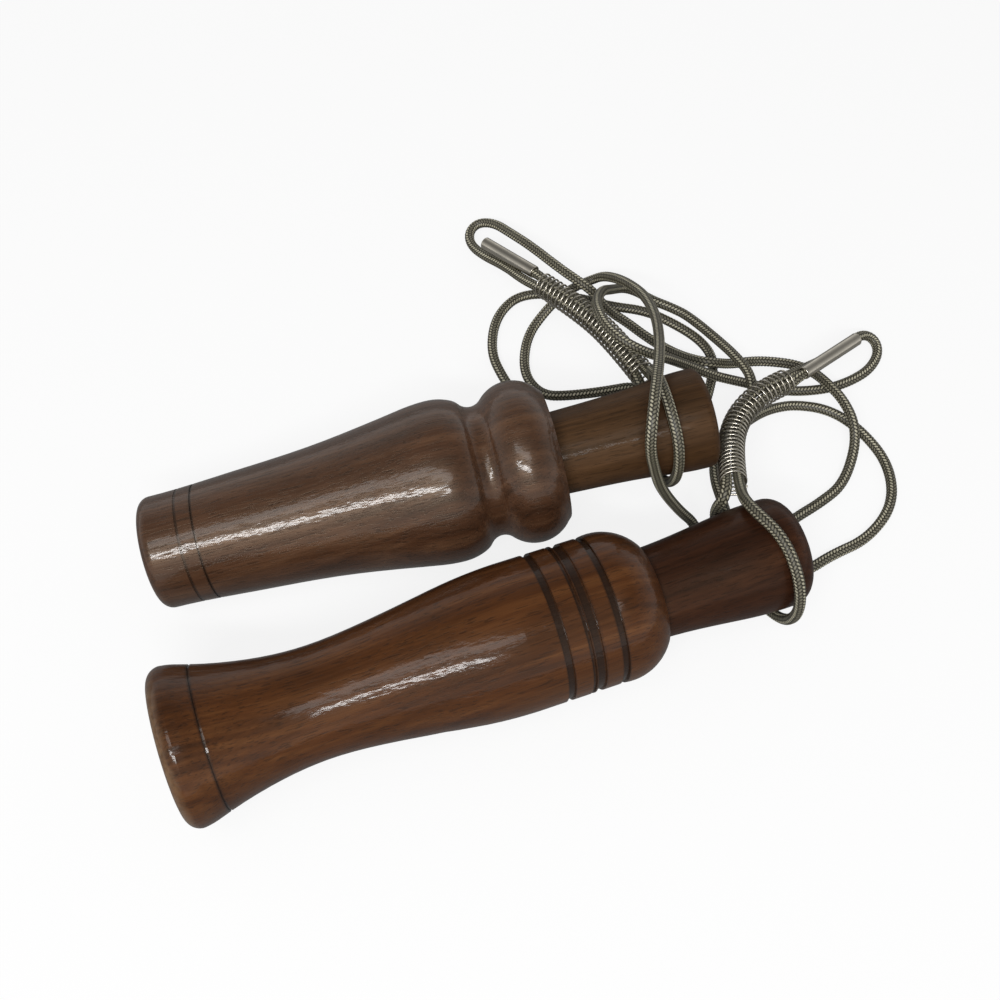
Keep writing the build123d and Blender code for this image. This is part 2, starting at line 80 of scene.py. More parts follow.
NECK_OUT = (
    (0.0184, 0.1001, 0.0105), (0.0224, 0.0951, 0.0115), (0.0269, 0.0911, 0.0115),
    (0.0304, 0.0891, 0.01), (0.0329, 0.0876, 0.007), (0.0359, 0.0871, 0.0035),
    (0.0399, 0.0856, 0.0015), (0.0434, 0.0821, 0.0015), (0.0474, 0.0786, 0.0015),
    (0.0524, 0.0731, 0.004), (0.0569, 0.0691, 0.007), (0.0604, 0.0686, 0.007),
    (0.0654, 0.0711, 0.003), (0.0709, 0.0731, 0.0015), (0.0759, 0.0731, 0.0015),
    (0.0824, 0.0721, 0.0015), (0.0864, 0.0686, 0.003), (0.0884, 0.0626, 0.0065),
    (0.0914, 0.0576, 0.007), (0.0934, 0.0506, 0.007), (0.0934, 0.0446, 0.004),
    (0.0899, 0.0361, 0.0015), (0.0839, 0.0311, 0.0015), (0.0769, 0.0266, 0.0015),
    (0.0699, 0.0211, 0.0014), (0.0679, 0.0156, 0.0014), (0.0719, 0.0111, 0.0014),
    (0.0784, 0.0126, 0.0014), (0.0844, 0.0166, 0.0015), (0.0939, 0.0211, 0.0015),
    (0.1014, 0.0306, 0.0015), (0.1019, 0.0421, 0.0015), (0.0964, 0.0521, 0.0015),
    (0.0894, 0.0581, 0.0015), (0.0809, 0.0596, 0.0015), (0.0749, 0.0581, 0.002),
    (0.0704, 0.0546, 0.0045), (0.0654, 0.0496, 0.007), (0.0564, 0.0406, 0.007),
    (0.0464, 0.0376, 0.005), (0.0354, 0.0406, 0.004), (0.0254, 0.0466, 0.0025),
    (0.0144, 0.0556, 0.0014), (0.0069, 0.0681, 0.0015), (0.0039, 0.0766, 0.0015),
    (0.0054, 0.0881, 0.0015), (0.0124, 0.0959, 0.0015), (0.0199, 0.095, 0.0015),
)
NECK_MIDDLE = (
    (0.0199, 0.095, 0.0015), (0.0274, 0.0941, 0.0015), (0.0354, 0.0911, 0.0015),
    (0.0449, 0.0896, 0.0015), (0.0524, 0.0851, 0.0015), (0.0584, 0.0801, 0.0015),
    (0.0614, 0.0746, 0.0015), (0.0609, 0.0681, 0.0015), (0.0569, 0.0556, 0.0014),
    (0.0494, 0.0536, 0.0025), (0.0419, 0.0636, 0.0045), (0.0329, 0.0616, 0.0045),
    (0.0239, 0.0606, 0.004), (0.0174, 0.0616, 0.0025), (0.0134, 0.0671, 0.0015),
    (0.0124, 0.0736, 0.0015), (0.0139, 0.0821, 0.0015), (0.0184, 0.0876, 0.004),
    (0.0219, 0.0896, 0.007), (0.0259, 0.0931, 0.007), (0.0304, 0.0966, 0.0055),
    (0.0334, 0.0956, 0.0085), (0.0364, 0.0906, 0.0135), (0.0394, 0.0856, 0.017),
    (0.0424, 0.0796, 0.02), (0.0439, 0.0696, 0.025), (0.0434, 0.0577, 0.0314),
    (0.0418, 0.046, 0.0386), (0.0403, 0.0374, 0.042), (0.0394, 0.0316, 0.042),
    (0.0389, 0.0276, 0.04), (0.0389, 0.0251, 0.035), (0.0405, 0.0242, 0.028),
    (0.0427, 0.0237, 0.0205), (0.0482, 0.0246, 0.009), (0.0529, 0.0246, 0.0026),
    (0.0539, 0.0186, 0.0014), (0.0574, 0.0146, 0.0014), (0.0617, 0.0166, 0.0014),
    (0.0617, 0.0236, 0.0014), (0.0599, 0.0321, 0.0015), (0.0589, 0.0366, 0.0015),
    (0.0589, 0.0421, 0.0015), (0.0609, 0.0471, 0.0015), (0.0644, 0.0526, 0.002),
    (0.0679, 0.0566, 0.0045), (0.0694, 0.0596, 0.0075), (0.0689, 0.0646, 0.008),
    (0.0664, 0.0696, 0.0075), (0.0634, 0.0756, 0.0055), (0.05965, 0.08085, 0.0045),
)
NECK_IN = (
    (0.05965, 0.08085, 0.0045), (0.0559, 0.0861, 0.0035), (0.0514, 0.0886, 0.004),
    (0.0464, 0.0911, 0.004), (0.0429, 0.0956, 0.002), (0.0394, 0.0966, 0.0025),
    (0.0354, 0.0926, 0.0065), (0.0319, 0.0841, 0.0165), (0.0294, 0.0731, 0.025),
    (0.0314, 0.0651, 0.0265), (0.0354, 0.0606, 0.0265), (0.0409, 0.0591, 0.024),
    (0.0474, 0.0621, 0.0175), (0.0534, 0.0646, 0.011), (0.0599, 0.0646, 0.007),
    (0.0659, 0.0656, 0.0035), (0.0714, 0.0656, 0.0015), (0.0764, 0.0641, 0.0015),
    (0.0829, 0.0636, 0.0015), (0.0904, 0.0646, 0.0015), (0.0964, 0.0671, 0.0015),
    (0.1014, 0.0706, 0.0015), (0.1044, 0.0756, 0.0015), (0.1039, 0.0796, 0.002),
    (0.1004, 0.0801, 0.004), (0.0954, 0.0756, 0.006), (0.0889, 0.0696, 0.0075),
    (0.08255, 0.06494, 0.01),
)
LOWER_NOOSE = (
    (0.08255, 0.06494, 0.01), (0.0762, 0.06027, 0.0125), (0.06847, 0.05563, 0.014),
    (0.06145, 0.04736, 0.0135), (0.05836, 0.0352, 0.017), (0.05724, 0.0204, 0.0239),
    (0.0549, 0.0212, 0.014), (0.0584, 0.0181, 0.006), (0.0629, 0.0111, 0.0015),
    (0.0674, 0.0026, 0.002), (0.0704, -0.0039, 0.0085), (0.0714, -0.0054, 0.0175),
    (0.0699, -0.0019, 0.0265), (0.0664, 0.0056, 0.031), (0.0599, 0.0136, 0.0305),
    (0.05996, 0.02099, 0.0235), (0.06104, 0.03474, 0.017), (0.06395, 0.04616, 0.0135),
    (0.07033, 0.05357, 0.014), (0.0776, 0.05793, 0.0125), (0.0796, 0.05975, 0.0136),
    (0.0956, 0.0726, 0.0112),
)
STRETCHES = (
    ("upper_noose", UPPER_NOOSE), ("neck_out", NECK_OUT), ("neck_middle", NECK_MIDDLE),
    ("neck_in", NECK_IN), ("lower_noose", LOWER_NOOSE),
)

# The keepers' centre lines, each round two strands
KEEPERS = {
    "upper": (
        (0.0169, 0.0901, 0.012), (0.0264, 0.0801, 0.0145), (0.0349, 0.0676, 0.0175),
        (0.0419, 0.0531, 0.02),
    ),
    "lower": (
        (0.0769, 0.0591, 0.0125), (0.0694, 0.0546, 0.014), (0.0627, 0.04676, 0.0135),
        (0.0597, 0.03497, 0.017), (0.0586, 0.0211, 0.0235),
    ),
}

# How far each spring stops short of its line's ends: at the ferrule, and at the insert
KEEPER_MARGIN = 0.0006
KEEPER_INSERT_MARGIN = 0.0028
KEEPER_STEP = 0.0001
CURL_STEPS = 20
WIRE_SIDES = 10

# The braid has this many strands each way, and each passes over this many of the others
BRAID_STRANDS = 8
FLOAT_CELLS = 2
BRAID_SIDES = 32
BRAID_STEP = 0.00027
LINE_RESOLUTION = 24

# Dark, middle and light tones of the turned pieces
BROWN = ((0.038, 0.016, 0.008), (0.072, 0.030, 0.014), (0.122, 0.058, 0.029))
BROWN_INSERT = ((0.046, 0.022, 0.009), (0.078, 0.038, 0.016), (0.118, 0.060, 0.028))
RED = ((0.040, 0.012, 0.003), (0.082, 0.026, 0.006), (0.135, 0.050, 0.014))
RED_INSERT = ((0.022, 0.007, 0.003), (0.042, 0.014, 0.006), (0.070, 0.026, 0.011))
BURNT_LINE = (0.012, 0.006, 0.004, 1)
BARE_WOOD = (0.27, 0.165, 0.088, 1)
WARM_GLOSS = (1.0, 0.8, 0.6, 1)

# The wood's patterns: scale along and across the grain, detail, roughness, distortion
FIGURE = ((14, 150, 150), 3, 0.55, 0.8)
GROWTH_LAYERS = ((7, 820, 140), 3, 0.55, 0.25)
FIBRE = ((70, 2300, 2300), 3, 0.6)
PORES = ((240, 3000, 3000), 1, 0.5)
MOTTLE = ((45, 90, 90), 2, 0.5)
WEAR = ((300, 240, 240), 4, 0.65)
VARNISH_RIPPLE = ((260, 900, 900), 2, 0.5)

# Spans for remap, as from low, from high, to low, to high
WOOD_SHADE = (0.3, 0.7, 0.84, 1.14)
PORE_EDGE = (0.34, 0.42, 1, 0)
WORN_REACH = (0.0004, 0.0026, 1, 0)
WORN_PATCHES = (0.36, 0.6, 0.15, 1)
LINE_SOFTNESS = 0.00012

SOILED_YARN = (0.30, 0.27, 0.19, 1)
# Near-black colour painted into the braid's valleys as shade between the yarns
SHADE_BETWEEN_YARNS = (0.012, 0.010, 0.006, 1)

# The pieces inside the calls: nodes, then material, two tones, grain, roughness and relief
SOUND_FINISHES = (
    (("upper_tone_board", "lower_tone_board"), "tone_board_plastic",
     (0.62, 0.55, 0.42, 1), (0.72, 0.66, 0.52, 1), 160, 0.22, 0.05),
    (("upper_reed", "lower_reed", "lower_reed_top"), "reed_film",
     (0.74, 0.74, 0.70, 1), (0.82, 0.82, 0.78, 1), 300, 0.4, 0.05),
    (("upper_wedge", "lower_wedge"), "cork",
     (0.42, 0.26, 0.14, 1), (0.60, 0.42, 0.25, 1), 900, 0.75, 0.6),
    (("upper_ring_front", "upper_ring_rear", "lower_ring_front", "lower_ring_rear"),
     "black_rubber", (0.012, 0.012, 0.012, 1), (0.03, 0.03, 0.03, 1), 1200, 0.5, 0.05),
)

# The photograph's view: place in metres, tilt in degrees, lens and sensor in millimetres
CAMERA_PLACE = (0.0064, -0.12405, 0.2697)
CAMERA_TILT = 30.15
CAMERA_LENS = 46.2
SENSOR_WIDTH = 36

# The floor's reach from the middle, its tone, and how bright it is seen and mirrored
FLOOR_REACH = 2.5
FLOOR_TONE = (0.17, 0.17, 0.17, 1)
FLOOR_SEEN = 0.84
FLOOR_MIRRORED = 0.15

# What gloss mirrors of the room, from the light walls up to the darker ceiling
ROOM_MIRRORED = (0.15, 0.8, 0.85, 0.12)

# Each lamp's name, place, size and share of the lamp power, and what they all face
LAMPS = (
    ("window", (-0.09, -0.50, 0.62), (0.50, 0.06), 1.15),
    ("ceiling", (-0.09, -0.30, 0.86), (0.70, 0.20), 0.5),
)
LAMP_TARGET = (0.0, 0.02, 0.02)
WHITE = (1, 1, 1, 1)


class DuckCallSettings(bpy.types.PropertyGroup):
    """Sizes and colours that a user would change."""

    cord_diameter: bpy.props.FloatProperty(
        name="Cord diameter", description="Over the braid's crowns",
        default=0.0026, unit="LENGTH",
    )
    braid_pitch: bpy.props.FloatProperty(
        name="Braid pitch", description="Length of one turn of a strand",
        default=0.0068, unit="LENGTH",
    )
    braid_depth: bpy.props.FloatProperty(
        name="Braid depth", description="From a crown down to a valley",
        default=0.0002, unit="LENGTH",
    )
    wire_diameter: bpy.props.FloatProperty(
        name="Keeper wire", description="Diameter of the spring wire",
        default=0.0005, unit="LENGTH",
    )
    curl_diameter: bpy.props.FloatProperty(
        name="Keeper diameter", description="Outside diameter of a curl",
        default=0.0065, unit="LENGTH",
    )
    curl_pitch: bpy.props.FloatProperty(
        name="Keeper pitch", description="From one curl to the next",
        default=0.0015, unit="LENGTH",
    )
    cord_light: bpy.props.FloatVectorProperty(
        name="Pale yarn", description="Colour of the pale strands", subtype="COLOR",
        default=(0.66, 0.62, 0.46), min=0, max=1,
    )
    # Also painted on the sides of the pale strands as their shade
    dark_yarn_and_shade: bpy.props.FloatVectorProperty(
        name="Dark yarn", description="Colour of the dark strands", subtype="COLOR",
        default=(0.062, 0.055, 0.036), min=0, max=1,
    )
    nickel: bpy.props.FloatVectorProperty(
        name="Nickel", description="Colour of the springs and tubes", subtype="COLOR",
        default=(0.60, 0.56, 0.48), min=0, max=1,
    )
    lamp_power: bpy.props.FloatProperty(
        name="Lamp power", description="Power that the lamps share out",
        default=2.8, unit="POWER",
    )
    world_level: bpy.props.FloatProperty(
        name="Soft light", description="Strength of the light from all round",
        default=0.32,
    )


def node(tree, kind, settings=None, inputs=None):
    """Add a node, set its options, and set or link its inputs."""
    made = tree.nodes.new(kind)
    for key, value in (settings or {}).items():
        setattr(made, key, value)
    for socket, value in (inputs or {}).items():
        if isinstance(value, bpy.types.NodeSocket):
            tree.links.new(value, made.inputs[socket])
        else:
            made.inputs[socket].default_value = value
    return made


def arithmetic(tree, operation, first, second=0.0, third=0.0):
    """Add a Math node and give its result."""
    values = {0: first, 1: second, 2: third}
    return node(tree, "ShaderNodeMath", {"operation": operation}, values).outputs[0]


def remap(tree, value, low, high, to_low, to_high):
    """Map a value from one span to another, clamped."""
    spans = {"From Min": low, "From Max": high, "To Min": to_low, "To Max": to_high}
    return node(tree, "ShaderNodeMapRange", {}, {"Value": value, **spans}).outputs["Result"]


def blend(tree, how, factor, first, second):
    """Mix two colours and give the result."""
    made = node(
        tree, "ShaderNodeMix", {"data_type": "RGBA", "blend_type": how},
        {0: factor, 6: first, 7: second},
    )
    return made.outputs[2]


def mix(tree, factor, first, second):
    """Mix two numbers and give the result."""
    made = node(tree, "ShaderNodeMix", {"data_type": "FLOAT"}, {0: factor, 2: first, 3: second})
    return made.outputs[0]


def ramp(tree, factor, stops):
    """Add a colour ramp with stops of place and colour."""
    made = node(tree, "ShaderNodeValToRGB", {}, {"Fac": factor})
    band = made.color_ramp
    while len(band.elements) > 1:
        band.elements.remove(band.elements[-1])
    band.elements[0].position, band.elements[0].color = stops[0]
    for place, colour in stops[1:]:
        band.elements.new(place).color = colour
    return made.outputs["Color"]


def noise(tree, space, scale, detail=2.0, rough=0.5, twist=0.0):
    """Add noise in a space stretched by a scale along each axis, and give its value."""
    spread = node(tree, "ShaderNodeMapping", {}, {"Vector": space, "Scale": scale})
    made = node(
        tree, "ShaderNodeTexNoise", {},
        {"Vector": spread.outputs[0], "Scale": 1.0, "Detail": detail, "Roughness": rough,
         "Distortion": twist},
    )
    return made.outputs["Fac"]


def material(name):
    """Start a material and give it with its tree and its shader."""
    made = bpy.data.materials.new(name)
    made.use_nodes = True
    return made, made.node_tree, made.node_tree.nodes["Principled BSDF"]


def settle(tree, shader, links, fixed):
    """Link and set a shader's sockets."""
    for socket, output in links.items():
        tree.links.new(output, shader.inputs[socket])
    for socket, value in fixed.items():
        shader.inputs[socket].default_value = value


def bump(tree, height, strength, distance):
    """Add a bump and give its normal."""
    values = {"Strength": strength, "Distance": distance, "Height": height}
    return node(tree, "ShaderNodeBump", {}, values).outputs["Normal"]


def line_mask(tree, along, length, lines):
    """Give 1 in the turned lines and 0 between them."""
    black = (0, 0, 0, 1)
    stops = [(0.0, black)]
    for place, width in lines:
        for edge, colour in (
            (-width / 2 - LINE_SOFTNESS, black), (-width / 2, WHITE),
            (width / 2, WHITE), (width / 2 + LINE_SOFTNESS, black),
        ):
            stops.append(((place + edge) / length, colour))
    return ramp(tree, arithmetic(tree, "DIVIDE", along, length), stops)


def oiled_wood(name, call, tones, lines=(), worn_lip=0.0, rough=0.4, shine=0.2, coat=0.5):
    """Make varnished wood whose grain runs along one call's axis."""
    made, tree, shader = material(name)
    facts = CALLS[call]
    coordinates = node(tree, "ShaderNodeTexCoord").outputs["Object"]
    turn = (0, -radians(facts["tilt"]), radians(facts["yaw"]))
    space = node(
        tree, "ShaderNodeMapping", {"vector_type": "TEXTURE"},
        {"Vector": coordinates, "Location": facts["start"], "Rotation": turn},
    ).outputs[0]
    along = node(tree, "ShaderNodeSeparateXYZ", {}, {0: space}).outputs["X"]
    figure = noise(tree, space, *FIGURE)
    layers = noise(tree, space, *GROWTH_LAYERS)
    fibre = noise(tree, space, *FIBRE)
    pores = remap(tree, noise(tree, space, *PORES), *PORE_EDGE)
    mottle = noise(tree, space, *MOTTLE)
    half_layers = arithmetic(tree, "MULTIPLY", layers, 0.5)
    mixed = arithmetic(tree, "MULTIPLY_ADD", figure, 0.5, half_layers)
    dark, middle, light = (tone + (1,) for tone in tones)
    colour = ramp(tree, mixed, [(0.32, dark), (0.5, middle), (0.68, light)])
    for pattern in (fibre, mottle):
        colour = blend(tree, "MULTIPLY", 1.0, colour, remap(tree, pattern, *WOOD_SHADE))
    pore_depth = arithmetic(tree, "MULTIPLY", pores, 0.45)
    pore_tone = tuple(part * 0.28 for part in tones[0]) + (1,)
    colour = blend(tree, "MIX", pore_depth, colour, pore_tone)
    if worn_lip:
        rubbed = remap(tree, along, *WORN_REACH)
        patches = remap(tree, noise(tree, space, *WEAR), *WORN_PATCHES)
        rubbed = arithmetic(tree, "MULTIPLY", rubbed, patches)
        rubbed = arithmetic(tree, "MULTIPLY", rubbed, worn_lip)
        colour = blend(tree, "MIX", rubbed, colour, BARE_WOOD)
    if lines:
        burnt = line_mask(tree, along, facts["length"], lines)
        burnt = arithmetic(tree, "MULTIPLY", burnt, 0.85)
        colour = blend(tree, "MIX", burnt, colour, BURNT_LINE)
    height = arithmetic(tree, "MULTIPLY_ADD", pores, -0.8, fibre)
    ripple = noise(tree, space, *VARNISH_RIPPLE)
    settle(
        tree, shader,
        {
            "Base Color": colour,
            "Roughness": remap(tree, fibre, 0.3, 0.75, rough, rough + 0.12),
            "Normal": bump(tree, height, 0.35, 0.00012),
            "Coat Normal": bump(tree, ripple, 0.36, 0.00022),
        },
        {"Specular IOR Level": shine, "Specular Tint": WARM_GLOSS, "Coat Weight": coat,
         "Coat Roughness": 0.13},
    )
    return made


def braided_cord(settings):
    """Make two-colour braid that follows the cord's own map, with painted highlights on the yarns'
    crowns and painted shade on their sides and between the yarns.
    """
    made, tree, shader = material("braided_cord")
    place = node(tree, "ShaderNodeUVMap", {"uv_map": "braid"}).outputs[0]
    split = node(tree, "ShaderNodeSeparateXYZ", {}, {0: place})
    turns = arithmetic(tree, "MULTIPLY", split.outputs["X"], float(BRAID_STRANDS))
    round_it = arithmetic(tree, "MULTIPLY", split.outputs["Y"], float(BRAID_STRANDS))
    right = arithmetic(tree, "ADD", round_it, turns)
    left = arithmetic(tree, "SUBTRACT", round_it, turns)
    cell = node(tree, "ShaderNodeCombineXYZ", {}, {"X": right, "Y": left, "Z": 0.5}).outputs[0]
    cells = arithmetic(
        tree, "ADD", arithmetic(tree, "FLOOR", right), arithmetic(tree, "FLOOR", left),
    )
    place_in_weave = arithmetic(tree, "FLOORED_MODULO", cells, 2.0 * FLOAT_CELLS)
    on_top = arithmetic(tree, "LESS_THAN", place_in_weave, FLOAT_CELLS - 0.5)
    over = mix(tree, on_top, left, right)
    under = mix(tree, on_top, right, left)
    passed = arithmetic(tree, "ADD", arithmetic(tree, "FLOOR", over), under)
    passed = arithmetic(tree, "FLOORED_MODULO", passed, float(FLOAT_CELLS))
    across = arithmetic(tree, "MULTIPLY", arithmetic(tree, "FRACT", over), pi)
    round_across = arithmetic(tree, "SINE", across)
    along = arithmetic(tree, "MULTIPLY", passed, pi / FLOAT_CELLS)
    round_along = arithmetic(tree, "SINE", along)
    crown = arithmetic(tree, "MULTIPLY", round_across, round_along)
    valley = remap(tree, crown, 0.08, 0.4, 1, 0)
    # Painted light: the pale colour shows only on the crowns of one direction's strands, as a
    # painted highlight, with the dark colour on their sides as painted shade; the other
    # direction's strands are dark with a faint painted highlight on their crowns
    pale_strands_and_highlight = arithmetic(
        tree, "MULTIPLY", remap(tree, crown, 0.25, 0.7, 0, 1), remap(tree, on_top, 0, 1, 0.3, 1),
    )
    yarn = noise(tree, cell, (0.9, 5.0, 1.0), 2, 0.6)
    coordinates = node(tree, "ShaderNodeTexCoord").outputs["Object"]
    soiled = noise(tree, coordinates, (70, 70, 70), 3, 0.6)
    pale = blend(
        tree, "MIX", remap(tree, soiled, 0.35, 0.65, 0, 0.55),
        tuple(settings.cord_light) + (1,), SOILED_YARN,
    )
    colour = blend(tree, "MIX", pale_strands_and_highlight, tuple(settings.dark_yarn_and_shade) + (1,), pale)
    colour = blend(tree, "MULTIPLY", 1.0, colour, remap(tree, yarn, 0.3, 0.7, 0.7, 1.25))
    # Painted shade: darken the valleys between the yarns
    shadow = arithmetic(tree, "MULTIPLY", valley, 0.8)
    colour = blend(tree, "MIX", shadow, colour, SHADE_BETWEEN_YARNS)
    settle(
        tree, shader,
        {"Base Color": colour, "Normal": bump(tree, yarn, 0.5, 0.0001)},
        {"Roughness": 0.42, "Specular IOR Level": 0.5},
    )
    return made


def bright_metal(name, colour, rough):
    """Make drawn nickel plate with faint streaks and tarnish."""
    made, tree, shader = material(name)
    coordinates = node(tree, "ShaderNodeTexCoord").outputs["Object"]
    tarnish = noise(tree, coordinates, (220, 220, 220), 4, 0.6)
    streaks = noise(tree, coordinates, (900, 900, 2600), 2, 0.5)
    tone = blend(
        tree, "MIX", remap(tree, tarnish, 0.35, 0.7, 0, 0.5),
        tuple(colour) + (1,), tuple(part * 0.6 for part in colour) + (1,),
    )
    settle(
        tree, shader,
        {
            "Base Color": tone,
            "Roughness": remap(tree, tarnish, 0.3, 0.7, rough, rough + 0.12),
            "Normal": bump(tree, streaks, 0.08, 0.00004),
        },
        {"Metallic": 1.0},
    )
    return made


def moulded(name, first, second, grain, rough, relief):
    """Make a plain moulded, cut or pressed material with two close tones."""
    made, tree, shader = material(name)
    coordinates = node(tree, "ShaderNodeTexCoord").outputs["Object"]
    specks = noise(tree, coordinates, (grain, grain, grain), 4, 0.6)
    tone = blend(tree, "MIX", remap(tree, specks, 0.35, 0.65, 0, 1), first, second)
    settle(
        tree, shader,
        {
            "Base Color": tone,
            "Roughness": remap(tree, specks, 0.3, 0.7, rough, rough + 0.15),
            "Normal": bump(tree, specks, relief, 0.0001),
        },
        {},
    )
    return made


def dress(names, finish):
    """Give CAD nodes a material through their own slots."""
    for name in names:
        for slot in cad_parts[name].material_slots:
            slot.material = finish


def smooth_line(name, points, step):
    """Draw a smooth line by the route's points and read it back at even steps."""
    curve = bpy.data.curves.new(name, "CURVE")
    curve.dimensions = "3D"
    spline = curve.splines.new("NURBS")
    spline.points.add(len(points) - 1)
    for point, place in zip(spline.points, points):
        point.co = (*place, 1)
    spline.order_u = 3
    spline.use_endpoint_u = True
    curve.resolution_u = LINE_RESOLUTION
    holder = bpy.data.objects.new(name, curve)
    mesh = bpy.data.meshes.new_from_object(holder)
    read = [vertex.co.copy() for vertex in mesh.vertices]
    bpy.data.objects.remove(holder)
    bpy.data.curves.remove(curve)
    bpy.data.meshes.remove(mesh)
    runs = [0.0]
    for first, second in zip(read, read[1:]):
        runs.append(runs[-1] + (second - first).length)
    count = max(2, round(runs[-1] / step))
    line, at = [], 0
    for number in range(count + 1):
        wanted = runs[-1] * number / count
        while at < len(runs) - 2 and runs[at + 1] < wanted:
            at += 1
        share = (wanted - runs[at]) / (runs[at + 1] - runs[at])
        line.append(read[at].lerp(read[at + 1], share))
    return line, runs[-1]


def braid_height(right, left):
    """Give how high the braid stands, from 0 in a valley to 1 on a crown."""
    weave = 2 * FLOAT_CELLS
    if (floor(right) + floor(left)) % weave < FLOAT_CELLS:
        across, along = right, (floor(right) + left) % weave
    else:
        across, along = left, (floor(left) + right) % weave - FLOAT_CELLS
    return (abs(sin(pi * across)) * abs(sin(pi * along / FLOAT_CELLS))) ** 0.5


def tube(name, line, side, sides, radius_at, map_at=None):
    """Skin a closed tube round a line, with its own radius and map place at each corner."""
    mesh = bmesh.new()
    braid = mesh.loops.layers.uv.new("braid") if map_at else None
    rings = []
    for number, point in enumerate(line):
        ahead = line[min(number + 1, len(line) - 1)] - line[max(number - 1, 0)]
        ahead.normalize()
        side = (side - ahead * side.dot(ahead)).normalized()
        up = ahead.cross(side)
        ring = []
        for corner in range(sides):
            turn = 2 * pi * corner / sides
            out = side * cos(turn) + up * sin(turn)
            ring.append(mesh.verts.new(point + out * radius_at(number, corner / sides)))
        rings.append(ring)
    for number, (before, ring) in enumerate(zip(rings, rings[1:])):
        for corner in range(sides):
            after = (corner + 1) % sides
            face = mesh.faces.new((before[corner], before[after], ring[after], ring[corner]))
            face.smooth = True
            if map_at:
                places = (
                    map_at(number, corner / sides),
                    map_at(number, (corner + 1) / sides),
                    map_at(number + 1, (corner + 1) / sides),
                    map_at(number + 1, corner / sides),
                )
                for loop, place in zip(face.loops, places):
                    loop[braid].uv = place
    mesh.faces.new(reversed(rings[0]))
    mesh.faces.new(rings[-1])
    data = bpy.data.meshes.new(name)
    mesh.to_mesh(data)
    mesh.free()
    piece = bpy.data.objects.new(name, data)
    bpy.context.scene.collection.objects.link(piece)
    return piece, side


def place_camera(scene):
    """Put the camera at the photograph's view."""
    lens = bpy.data.cameras.new("camera")
    lens.sensor_fit = "HORIZONTAL"
    lens.sensor_width = SENSOR_WIDTH
    lens.lens = CAMERA_LENS
    lens.dof.use_dof = False
    camera = bpy.data.objects.new("camera", lens)
    camera.location = CAMERA_PLACE
    camera.rotation_euler = (radians(CAMERA_TILT), 0, 0)
    scene.collection.objects.link(camera)
    bpy.context.scene.camera = camera


def ray_kinds(tree):
    """Give 1 for rays that see the background straight, and 1 for rays that mirror it."""
    rays = node(tree, "ShaderNodeLightPath").outputs
    sharp = arithmetic(tree, "MAXIMUM", rays["Is Camera Ray"], rays["Is Transmission Ray"])
    return sharp, rays["Is Glossy Ray"]


def lay_floor(scene):
    """Lay a pale floor that keeps the shadow and is seen nearly white."""
    plane = bmesh.new()
    bmesh.ops.create_grid(plane, x_segments=2, y_segments=2, size=FLOOR_REACH)
    data = bpy.data.meshes.new("floor")
    plane.to_mesh(data)
    plane.free()
    floor_piece = bpy.data.objects.new("floor", data)
    scene.collection.objects.link(floor_piece)
    finish, tree, shader = material("pale_floor")
    sharp, glossy = ray_kinds(tree)
    glossy = arithmetic(tree, "MULTIPLY", glossy, FLOOR_MIRRORED)
    seen = arithmetic(tree, "MAXIMUM", sharp, glossy)
    settle(
        tree, shader, {"Emission Strength": arithmetic(tree, "MULTIPLY", seen, FLOOR_SEEN)},
        {"Base Color": FLOOR_TONE, "Roughness": 0.9, "Specular IOR Level": 0.0,
         "Emission Color": WHITE},
    )
    data.materials.append(finish)


def light_room(scene, settings):
    """Make the soft light from all round and hang the two lamps."""
    world = bpy.data.worlds.new("soft_light")
    world.use_nodes = True
    tree = world.node_tree
    sharp, glossy = ray_kinds(tree)
    way = node(tree, "ShaderNodeTexCoord").outputs["Generated"]
    height = node(tree, "ShaderNodeSeparateXYZ", {}, {0: way}).outputs["Z"]
    level = mix(tree, glossy, settings.world_level, remap(tree, height, *ROOM_MIRRORED))
    level = mix(tree, sharp, level, 1.0)
    tree.links.new(level, tree.nodes["Background"].inputs["Strength"])
    tree.nodes["Background"].inputs["Color"].default_value = WHITE
    scene.world = world

    for name, place, size, share in LAMPS:
        lamp = bpy.data.lights.new(name, "AREA")
        lamp.shape = "RECTANGLE"
        lamp.size, lamp.size_y = size
        lamp.energy = settings.lamp_power * share
        holder = bpy.data.objects.new(name, lamp)
        holder.location = place
        aim = Vector(LAMP_TARGET) - Vector(place)
        holder.rotation_euler = aim.to_track_quat("-Z", "Y").to_euler()
        scene.collection.objects.link(holder)


class DUCKCALLS_OT_stage(bpy.types.Operator):
    """Set the camera, the pale floor and the soft light"""

    bl_idname = "duck_calls.stage"
    bl_label = "Stage"

    def execute(self, context):
        scene = context.scene
        place_camera(scene)
        lay_floor(scene)
        light_room(scene, scene.duck_calls)
        scene.view_settings.view_transform = "Standard"
        return {"FINISHED"}


class DUCKCALLS_OT_wood(bpy.types.Operator):
    """Finish the turned barrels and inserts"""

    bl_idname = "duck_calls.wood"
    bl_label = "Turned wood"

    def execute(self, context):
        for target, finish in (
            ("upper_barrel", oiled_wood(
                "grey_brown_wood", "upper", BROWN, UPPER_LINES, rough=0.36, shine=0.55, coat=0.55,
            )),
            ("upper_insert", oiled_wood(
                "upper_insert_wood", "upper", BROWN_INSERT, rough=0.46, coat=0.06,
            )),
            ("lower_barrel", oiled_wood(
                "red_brown_wood", "lower", RED, LOWER_LINES, worn_lip=0.8,
            )),
            ("lower_insert", oiled_wood("dark_red_wood", "lower", RED_INSERT, coat=0.14)),
        ):
            dress([target], finish)
        return {"FINISHED"}


class DUCKCALLS_OT_sound_pieces(bpy.types.Operator):
    """Finish the tone boards, reeds, wedges and rubber rings inside the calls"""

    bl_idname = "duck_calls.sound_pieces"
    bl_label = "Sound pieces"

    def execute(self, context):
        for names, *finish in SOUND_FINISHES:
            dress(names, moulded(*finish))
        return {"FINISHED"}


